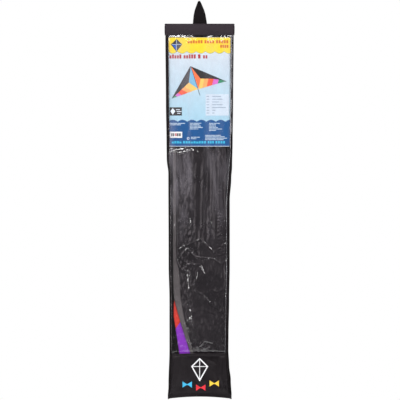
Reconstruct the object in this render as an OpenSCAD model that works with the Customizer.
// Delta kite packed in its carry sleeve, hanging by its webbing loop.
// Millimetres. +Z is up and the clear window faces -Y. The origin is where a peg carries the loop.
// Depths below the sleeve's mouth are written d, and z_at(d) turns one into a height.

/* [Sleeve] */
// Height of the peg above the sleeve's mouth
loop_rise = 44; // [40:1:50]
// Length of the sleeve from its mouth to its bottom edge
sleeve_len = 720; // [718:1:726]
// Width across the mouth
mouth_w = 131; // [130:0.5:134]
// Width at the narrowest part, low on the sleeve
waist_w = 110.6; // [110:0.2:114]
// Width across the bottom edge
foot_w = 122.4; // [118:0.2:126]
// Depth between the inner faces of the front and the back
depth_in = 26; // [26:0.1:27]
// Height of the band sewn round the top of the window
band_h = 22; // [22:1:24]
// Height of the fabric panel below the window
pocket_h = 88; // [84:1:90]

/* [Card] */
// Width of the header card
card_w = 120; // [110:1:120]
// Height of the header card
card_h = 209; // [200:1:220]

/* [Kite] */
// Half of the folded sail's width
fold_half = 50; // [49:0.5:50]
// Outer diameter of the spars
spar_d = 6; // [5:0.5:6]
// Length of each lower leading edge spar
lower_spar_len = 610; // [560:5:610]
// Length of each spreader spar
spreader_len = 490; // [440:5:490]

/* [Hidden] */
$fn = 48;

wall = 0.8;                              // sewn fabric
film_t = 0.4;                            // clear window film
gap = 0.1;                               // between pieces that are sewn together
half_depth = depth_in / 2 + wall;
lip = 4.5;                               // width of the gusset's front edge
corner_r = 3;                            // rounding of the gusset's front corner
seam_d = sleeve_len - 8;                 // where front and back meet at the foot
taper_d = 560;                           // where the front starts to fall back to the foot seam
foot_front = half_depth - 3.2;           // how far back the front is at the foot seam
foot_arch = 4;                           // the bottom edge is this much higher in its middle
pocket_d = sleeve_len - pocket_h;        // top edge of the bottom panel
window_bow = 1.6;                        // how far the filled window crowns outward
tape_t = 1.2;
tape_w = 100;
tape_d = 3;                              // top of the closure tapes
tape_h = 16;
band_t = 1;
loop_w = 26;
strap_t = 1.4;                           // webbing thickness
eye_r = 4;                               // radius of the loop over its peg
loop_base_y = -4;                        // the loop is sewn this far in front of its peg
centre_y = loop_base_y - half_depth + wall + gap + band_t / 2;   // mid plane of the sleeve
hinge_d = -1.6;                          // the loop flexes just above the mouth
lean = 2.2;                              // degrees back from plumb that put the weight below the loop's seam
card_t = 0.5;
card_x = -0.8;
card_d = band_h + 4;
card_y = -half_depth + 2.8;              // front face of the card
sail_d = 86;                             // top of the folded sail
sail_end_d = 648;                        // bottom of the folded sail
stack_front = -half_depth + 3.6;         // front of the folded layers
stack_back = 1.8;                        // back of the folded layers, in front of the spars
wrap_y = 9.4;                            // the back wing wraps behind the spars
spar_y = 5.6;
spar_r = spar_d / 2;
bore_r = spar_r - 0.95;
pocket_r = spar_r + 0.9;
left_x = -48;                            // leading edge pockets
spine_x = 46.5;
cap_r = spar_r + 0.6;
cap_wall = 2;
ferrule_r = bore_r - 0.05;
ferrule_len = 44;
spar_foot_d = 660;                       // lowest end of the loose spars
upper_top_d = 60;
upper_foot_d = 514;
socket_d = 70;
socket_len = 26;
socket_r = 4.2;
stub_len = 18;
// Half width of the sleeve at each depth
width_stations = [[0, mouth_w / 2], [150, mouth_w / 2 - 1.9], [245, 62.1], [325, 58.3], [450, 57.6],
    [590, waist_w / 2], [sleeve_len, foot_w / 2]];
// Left edge of the folded left wing, and of the gores that show beside it
wing_edge = [[0, -43.2], [527, -43.2], [sail_end_d, -13.6]];
gore_edge = [[0, -43.2], [520, -43.2], [530, -49.5], [560, -50], [632, -38.9], [sail_end_d, -36.4]];

function z_at(d) = -loop_rise - d;
function mix(a, b, t) = a + (b - a) * t;
function smooth(t) = let (c = min(1, max(0, t))) c * c * (3 - 2 * c);
function eased(d, table, i = 0) =
    i >= len(table) - 2 || d <= table[i + 1][0]
        ? mix(table[i][1], table[i + 1][1], smooth((d - table[i][0]) / (table[i + 1][0] - table[i][0])))
        : eased(d, table, i + 1);
function half_w(d) = eased(d, width_stations);
function taper(d) = pow(max(0, d - taper_d) / (seam_d - taper_d), 1.5);
function front(d) = mix(-half_depth, foot_front, taper(d));
function window_half(d) = half_w(d) - lip;
function crown(x, d) =
    window_bow * max(0, 1 - pow(x / window_half(d), 2)) * smooth((d - band_h - 2) / 40)
        * (1 - smooth((d - taper_d) / (seam_d - taper_d)));
function foot_d(x) = seam_d - foot_arch * (1 - pow(x / (foot_w / 2), 2));
function stack(f, d) = mix(max(stack_front, front(d) + 1.9), stack_back, f);
function spread(a, b, n) = [for (i = [0:n]) mix(a, b, i / n)];

// Turns x, a distance y behind the sleeve's mid plane and a depth d into a point, before the lean
function place(x, y, d) = [x, centre_y + y, z_at(d)];

// Closed solid between an outer and an inner grid of points with the same rows and columns
module grid_solid(outer, inner) {
    rows = len(outer);
    cols = len(outer[0]);
    n = rows * cols;
    quads = [for (r = [0:rows - 2], c = [0:cols - 2]) [r * cols + c, r * cols + c + 1,
        (r + 1) * cols + c + 1, (r + 1) * cols + c]];
    last = (rows - 1) * cols;
    faces = concat(
        [for (q = quads) each [[q[0], q[1], q[2]], [q[0], q[2], q[3]]]],
        [for (q = quads) each [[q[0] + n, q[2] + n, q[1] + n], [q[0] + n, q[3] + n, q[2] + n]]],
        [for (c = [0:cols - 2]) each [[c, c + n, c + 1 + n], [c, c + 1 + n, c + 1]]],
        [for (c = [last:last + cols - 2]) each [[c, c + 1 + n, c + n], [c, c + 1, c + 1 + n]]],
        [for (r = [0:rows - 2]) let (a = r * cols, b = a + cols)
            each [[a, b, b + n], [a, b + n, a + n]]],
        [for (r = [0:rows - 2]) let (a = r * cols + cols - 1, b = a + cols)
            each [[a, b + n, b], [a, a + n, b + n]]]);
    polyhedron([for (row = outer) each row, for (row = inner) each row], faces);
}

// Extrudes an outline drawn in X and Z between two depths of the sleeve
module upright(y0, y1) {
    translate([0, centre_y + y1, 0]) rotate([90, 0, 0]) linear_extrude(y1 - y0) children();
}

// Rectangle in X and Z from depth d0 to d1
module block(x0, x1, d0, d1, y0, y1) {
    translate(place(x0, y0, d1)) cube([x1 - x0, y1 - y0, d1 - d0]);
}

// Upright round bar or tube
module bar(x, y, d0, d1, r) {
    translate(place(x, y, d1)) cylinder(h = d1 - d0, r = r);
}

// Leans the sleeve and what it holds, about the loop's seam
module hung() {
    seam = [0, loop_base_y, z_at(hinge_d)];
    translate(seam) rotate([lean, 0, 0]) translate(-seam) children();
}

module rounded(w, h, r) {
    square([w - 2 * r, h], center = true);
    square([w, h - 2 * r], center = true);
    for (sx = [-1, 1], sy = [-1, 1]) translate([sx * (w / 2 - r), sy * (h / 2 - r)]) circle(r);
}

// ---- Loop ----
// Points on a circle in Y and Z
function arc(y, z, r, a0, a1, n) = [for (a = spread(a0, a1, n)) [y + r * cos(a), z + r * sin(a)]];

module loop_side() {
    foot = z_at(hinge_d);
    difference() {
        polygon(concat(arc(0, -eye_r, eye_r + strap_t, 180, -11.5, 16),
            arc(loop_base_y, foot, strap_t, 0, -180, 8)));
        polygon(concat(arc(0, -eye_r, eye_r, 180, -16, 16), [[loop_base_y, foot + 9]]));
    }
}

module hanging_loop() {
    top = strap_t;
    foot = z_at(hinge_d) - strap_t;
    side = [for (t = spread(0, 1, 14)) [loop_w / 2 * (0.1 + 0.9 * sin(90 * pow(t, 0.85))), mix(top, foot, t)]];
    color("#151314") intersection() {
        rotate([90, 0, 90]) linear_extrude(loop_w, center = true) loop_side();
        rotate([90, 0, 0]) linear_extrude(4 * eye_r, center = true)
            polygon(concat(side, [for (i = [len(side) - 1:-1:0]) [-side[i][0], side[i][1]]]));
    }
}

module loop_tail() {
    y1 = half_depth - wall - gap;
    color("#151314") block(-loop_w / 2, loop_w / 2, 0, 14.8, y1 - band_t, y1);
}

// ---- Sleeve ----
module back_panel() {
    edge = [for (d = spread(0, seam_d - gap - 0.2, 40)) [half_w(d) - wall - gap, z_at(d)]];
    foot = [for (x = spread(54, -54, 12)) [x, z_at(foot_d(x) - gap)]];
    color("#232022") upright(half_depth - wall, half_depth)
        polygon(concat(edge, foot, [for (i = [len(edge) - 1:-1:0]) [-edge[i][0], edge[i][1]]]));
}

function gusset_path(d, inset) =
    let (w = half_w(d), f = front(d), r = min(corner_r, (half_depth - f) * 0.45))
    concat([[w - lip, f + inset]],
        [for (a = spread(-90, 0, 4)) [w - r + (r - inset) * cos(a), f + r + (r - inset) * sin(a)]],
        [[w - inset, half_depth]]);

module side_gusset_right() {
    depths = concat(spread(0, taper_d, 30), [for (d = spread(taper_d + 9, seam_d - gap - 0.2, 16)) d]);
    color("#1a1819") grid_solid(
        [for (d = depths) [for (p = gusset_path(d, 0)) place(p[0], p[1], d)]],
        [for (d = depths) [for (p = gusset_path(d, wall)) place(p[0], p[1], d)]]);
}

module side_gusset_left() {
    mirror([1, 0, 0]) side_gusset_right();
}

module clear_window() {
    tuck = 1.2;
    depths = concat(spread(tape_d, taper_d, 24), spread(taper_d + 8, pocket_d + 10, 9));
    xs = spread(-1, 1, 14);
    function across(d) =
        concat([-window_half(d) - tuck], [for (x = xs) x * window_half(d)], [window_half(d) + tuck]);
    function sheet(d, y) = [for (x = across(d)) place(x, front(d) + wall + gap - crown(x, d) + y, d)];
    color("lightgray", 0.3) grid_solid([for (d = depths) sheet(d, 0)], [for (d = depths) sheet(d, film_t)]);
}

module top_band() {
    half = mouth_w / 2 + 1.5;
    color("#2c292b") block(-half, half, 0, band_h, -half_depth - gap - band_t, -half_depth - gap);
}

module mouth_hem() {
    y1 = half_depth - wall - gap;
    color("#2c292b") difference() {
        block(-62, 62, 0, band_h, y1 - band_t, y1);
        block(-loop_w / 2 - 0.2, loop_w / 2 + 0.2, -1, 15, y1 - band_t - 1, y1 + 1);
    }
}

module closure_tape(y) {
    block(-tape_w / 2, tape_w / 2, tape_d, tape_d + tape_h, y, y + tape_t);
}

module hook_tape() {
    color("#111111") closure_tape(-half_depth + wall + 2 * gap + film_t);
}

module loop_tape() {
    color("#1b1b1b") closure_tape(half_depth - wall - 2 * gap - band_t - tape_t);
}

function panel_row(t, y) = [for (u = spread(-1, 1, 16))
    let (x0 = u * (foot_w / 2 - lip - gap), d = mix(pocket_d, foot_d(x0) - gap, t),
        x = u * (window_half(d) - gap))
    place(x, front(d) - crown(x, d) + y, d)];

module bottom_panel() {
    rows = spread(0, 1, 12);
    color("#201d1f") grid_solid([for (t = rows) panel_row(t, 0)], [for (t = rows) panel_row(t, wall)]);
}

module bottom_binding() {
    half = foot_w / 2;
    top = [for (x = spread(-half, half, 20)) [x, z_at(foot_d(x))]];
    bottom = [for (x = spread(half, -half, 20)) [x, z_at(foot_d(x)) - 8]];
    color("#161415") upright(foot_front - 1.2, half_depth) polygon(concat(top, bottom));
}

// Thin ink layer over the bottom panel, cut to the outline given as children in X and Z
module badge() {
    rows = spread(0, 1, 12);
    intersection() {
        upright(-half_depth - 8, half_depth) children();
        grid_solid([for (t = rows) panel_row(t, -0.3)], [for (t = rows) panel_row(t, -0.05)]);
    }
}

kite_d = 663;                            // middle of the printed kite
bow_stations = [[-24, 692], [2, 698], [28, 690]];

module badge_kite() {
    color("white") badge() translate([0, z_at(kite_d)]) {
        difference() {
            polygon([[0, 21], [15, 6], [0, -21], [-15, 6]]);
            polygon([[0, 17.6], [12, 5.8], [0, -16.8], [-12, 5.8]]);
        }
        translate([-0.8, -18]) square([1.6, 37]);
        translate([-13, 5.1]) square([26, 1.6]);
    }
}

module badge_bow(i) {
    s = bow_stations[i];
    badge() translate([s[0], z_at(s[1])])
        polygon([[0, 1.5], [9, 6], [9, -6], [0, -1.5], [-9, -6], [-9, 6]]);
}

module badge_bow_blue() { color("#3ba9e0") badge_bow(0); }
module badge_bow_red() { color("#e0313b") badge_bow(1); }
module badge_bow_yellow() { color("#f3c63c") badge_bow(2); }

// ---- Card ----
module header_card() {
    color("#f5e04a") upright(card_y, card_y + card_t)
        translate([card_x, z_at(card_d + card_h / 2)]) rounded(card_w, card_h, 1.5);
}

module price_label() {
    color("white") block(-57.6, -33.4, card_d + 181, card_d + 192.5, card_y - gap, card_y);
}

// ---- Sail ----
// One folded layer: left and right are edges by depth, top and bottom are depths by x
module layer(f0, f1, left, right, top, bottom, rows = 12, cols = 6) {
    function at(t, u, f) =
        let (d0 = mix(top(0), bottom(0), t), x = mix(left(d0), right(d0), u), d = mix(top(x), bottom(x), t))
        place(x, stack(f, d), d);
    function grid(f) = [for (t = spread(0, 1, rows)) [for (u = spread(0, 1, cols)) at(t, u, f)]];
    grid_solid(grid(f0), grid(f1));
}

module sail_left_wing() {
    color("#232024") layer(0, 0.24, function(d) lookup(d, wing_edge), function(d) fold_half,
        function(x) sail_d - 0.15 * x, function(x) sail_end_d, 40, 10);
}

module sail_center_fold() {
    color("#1d1b1e") layer(0.55, 1, function(d) -42.6 + 28 * smooth((d - 560) / 90),
        function(d) 42.2, function(x) sail_d + 12, function(x) sail_end_d, 20, 8);
}

module sail_right_wing() {
    color("#232024") block(-fold_half, fold_half, sail_d + 6, sail_end_d, wrap_y, wrap_y + 1);
}

gore_seams = [160, 300, 440, 577, 640];
gore_slope = -1.2;                       // how much lower a gore's seam gets towards the left edge
gore_x = -41;
function gore_top(i, x) = gore_seams[i] + gore_slope * (x - gore_x);
function gore_foot(i, x) = i == 3 ? 640 : gore_top(i + 1, x) - 0.2;

module gore(i) {
    for (f = [0.26, 0.45])
        layer(f, f + 0.09, function(d) lookup(d, gore_edge), function(d) 20,
            function(x) min(gore_top(i, x), 625), function(x) gore_foot(i, x), 20, 7);
}

module gore_yellow() { color("#f4c542") gore(0); }
module gore_orange() { color("#f2902f") gore(1); }
module gore_red() { color("#dc4438") gore(2); }
module gore_purple() { color("#8a35c0") gore(3); }

module gore_green() {
    color("#2fa36a") for (f = [0.26, 0.45])
        layer(f, f + 0.09, function(d) 22, function(d) 41, function(x) 560 + 2 * (x - 22), function(x) 640);
}

eyelets = [[10, 330], [12, 360], [14, 390]];

module eyelet_bars(r, y0, y1) {
    for (e = eyelets) translate(place(e[0], stack(0.365, e[1]) + y0, e[1]))
        rotate([-90, 0, 0]) cylinder(h = y1 - y0, r = r);
}

module keel() {
    color("#6fb3e0") difference() {
        layer(0.365, 0.435, function(d) mix(-5, 20, smooth(abs(d - 360) / 110)), function(d) 41,
            function(x) 250, function(x) 470);
        eyelet_bars(6.1, -1, 3);
    }
}

module keel_eyelets() {
    color("silver") difference() {
        eyelet_bars(6, 0, 0.8);
        eyelet_bars(3, -1, 3);
    }
}

module pocket_tube(x, y, d0, d1) {
    difference() {
        bar(x, y, d0, d1, pocket_r);
        bar(x, y, d0 - 1, d1 + 1, spar_r + 0.1);
    }
}

module leading_edge_pocket_left() {
    color("#4a4644") pocket_tube(left_x, stack_front + pocket_r, upper_top_d + 20, upper_foot_d - 4);
}

module leading_edge_pocket_right() {
    color("#4a4644") pocket_tube(left_x, 4.9, upper_top_d + 20, upper_foot_d - 4);
}

module spine_pocket() {
    color("#3a3738") pocket_tube(spine_x, -0.5, upper_top_d + 20, 556);
}

// ---- Spars ----
module spar(x, y, d0, d1) {
    color("#2a2a2c") difference() {
        bar(x, y, d0, d1, spar_r);
        bar(x, y, d0 - 1, d1 + 1, bore_r);
    }
}

module end_cap(x, y, d) {
    color("#101010") difference() {
        bar(x, y, d - 8, d + cap_wall, cap_r);
        bar(x, y, d - 9, d + 0.02, spar_r + 0.02);
    }
}

module leading_spar_left_upper() { spar(left_x, stack_front + pocket_r, upper_top_d, upper_foot_d); }
module leading_spar_right_upper() { spar(left_x, 4.9, upper_top_d, upper_foot_d); }
module leading_spar_left_lower() { spar(-36, spar_y, spar_foot_d - lower_spar_len, spar_foot_d); }
module leading_spar_right_lower() { spar(36, spar_y, spar_foot_d - lower_spar_len, spar_foot_d); }
module spine_spar_upper() { spar(spine_x, -0.5, upper_top_d, 560); }
module spine_spar_lower() { spar(-20, spar_y, 190, 646); }
module spreader_spar_left() { spar(-6, spar_y, spar_foot_d - spreader_len, spar_foot_d); }
module spreader_spar_right() { spar(6, spar_y, spar_foot_d - spreader_len, spar_foot_d); }
module spreader_cap_left() { end_cap(-6, spar_y, spar_foot_d); }
module spreader_cap_right() { end_cap(6, spar_y, spar_foot_d); }

// Pin glued half way into the top of a spar
module ferrule(x, y, d) {
    color("#c9ccd0") bar(x, y, d - ferrule_len / 2, d + ferrule_len / 2, ferrule_r);
}

module spar_ferrules() {
    for (x = [-36, 36]) ferrule(x, spar_y, spar_foot_d - lower_spar_len);
    ferrule(-20, spar_y, 190);
}

module spreader_ferrule() { ferrule(6, spar_y, spar_foot_d - spreader_len); }

module spar_end_caps() {
    for (x = [-36, 36]) end_cap(x, spar_y, spar_foot_d);
}

// Moulded fitting on a leading edge spar, with a side socket for the spreader
module spreader_socket(x, side) {
    color("#18181a") difference() {
        union() {
            bar(x, spar_y, socket_d - socket_len / 2, socket_d + socket_len / 2, socket_r);
            translate(place(x, spar_y, socket_d)) rotate([0, 90 * side, 0])
                cylinder(h = stub_len, r = socket_r);
        }
        bar(x, spar_y, 0, 200, spar_r + 0.03);
        translate(place(x, spar_y, socket_d)) rotate([0, 90 * side, 0])
            translate([0, 0, spar_r + 2]) cylinder(h = stub_len, r = spar_r + 0.05);
    }
}

module spreader_socket_left() { spreader_socket(-36, 1); }
module spreader_socket_right() { spreader_socket(36, -1); }

hanging_loop();
hung() loop_tail();
hung() back_panel();
hung() side_gusset_left();
hung() side_gusset_right();
hung() clear_window();
hung() top_band();
hung() mouth_hem();
hung() hook_tape();
hung() loop_tape();
hung() bottom_panel();
hung() bottom_binding();
hung() badge_kite();
hung() badge_bow_red();
hung() badge_bow_blue();
hung() badge_bow_yellow();
hung() header_card();
hung() price_label();
hung() sail_left_wing();
hung() sail_center_fold();
hung() sail_right_wing();
hung() gore_yellow();
hung() gore_orange();
hung() gore_red();
hung() gore_purple();
hung() gore_green();
hung() keel();
hung() keel_eyelets();
hung() leading_edge_pocket_left();
hung() leading_edge_pocket_right();
hung() spine_pocket();
hung() leading_spar_left_upper();
hung() leading_spar_left_lower();
hung() leading_spar_right_upper();
hung() leading_spar_right_lower();
hung() spine_spar_upper();
hung() spine_spar_lower();
hung() spar_ferrules();
hung() spar_end_caps();
hung() spreader_socket_left();
hung() spreader_socket_right();
hung() spreader_spar_left();
hung() spreader_cap_left();
hung() spreader_spar_right();
hung() spreader_cap_right();
hung() spreader_ferrule();
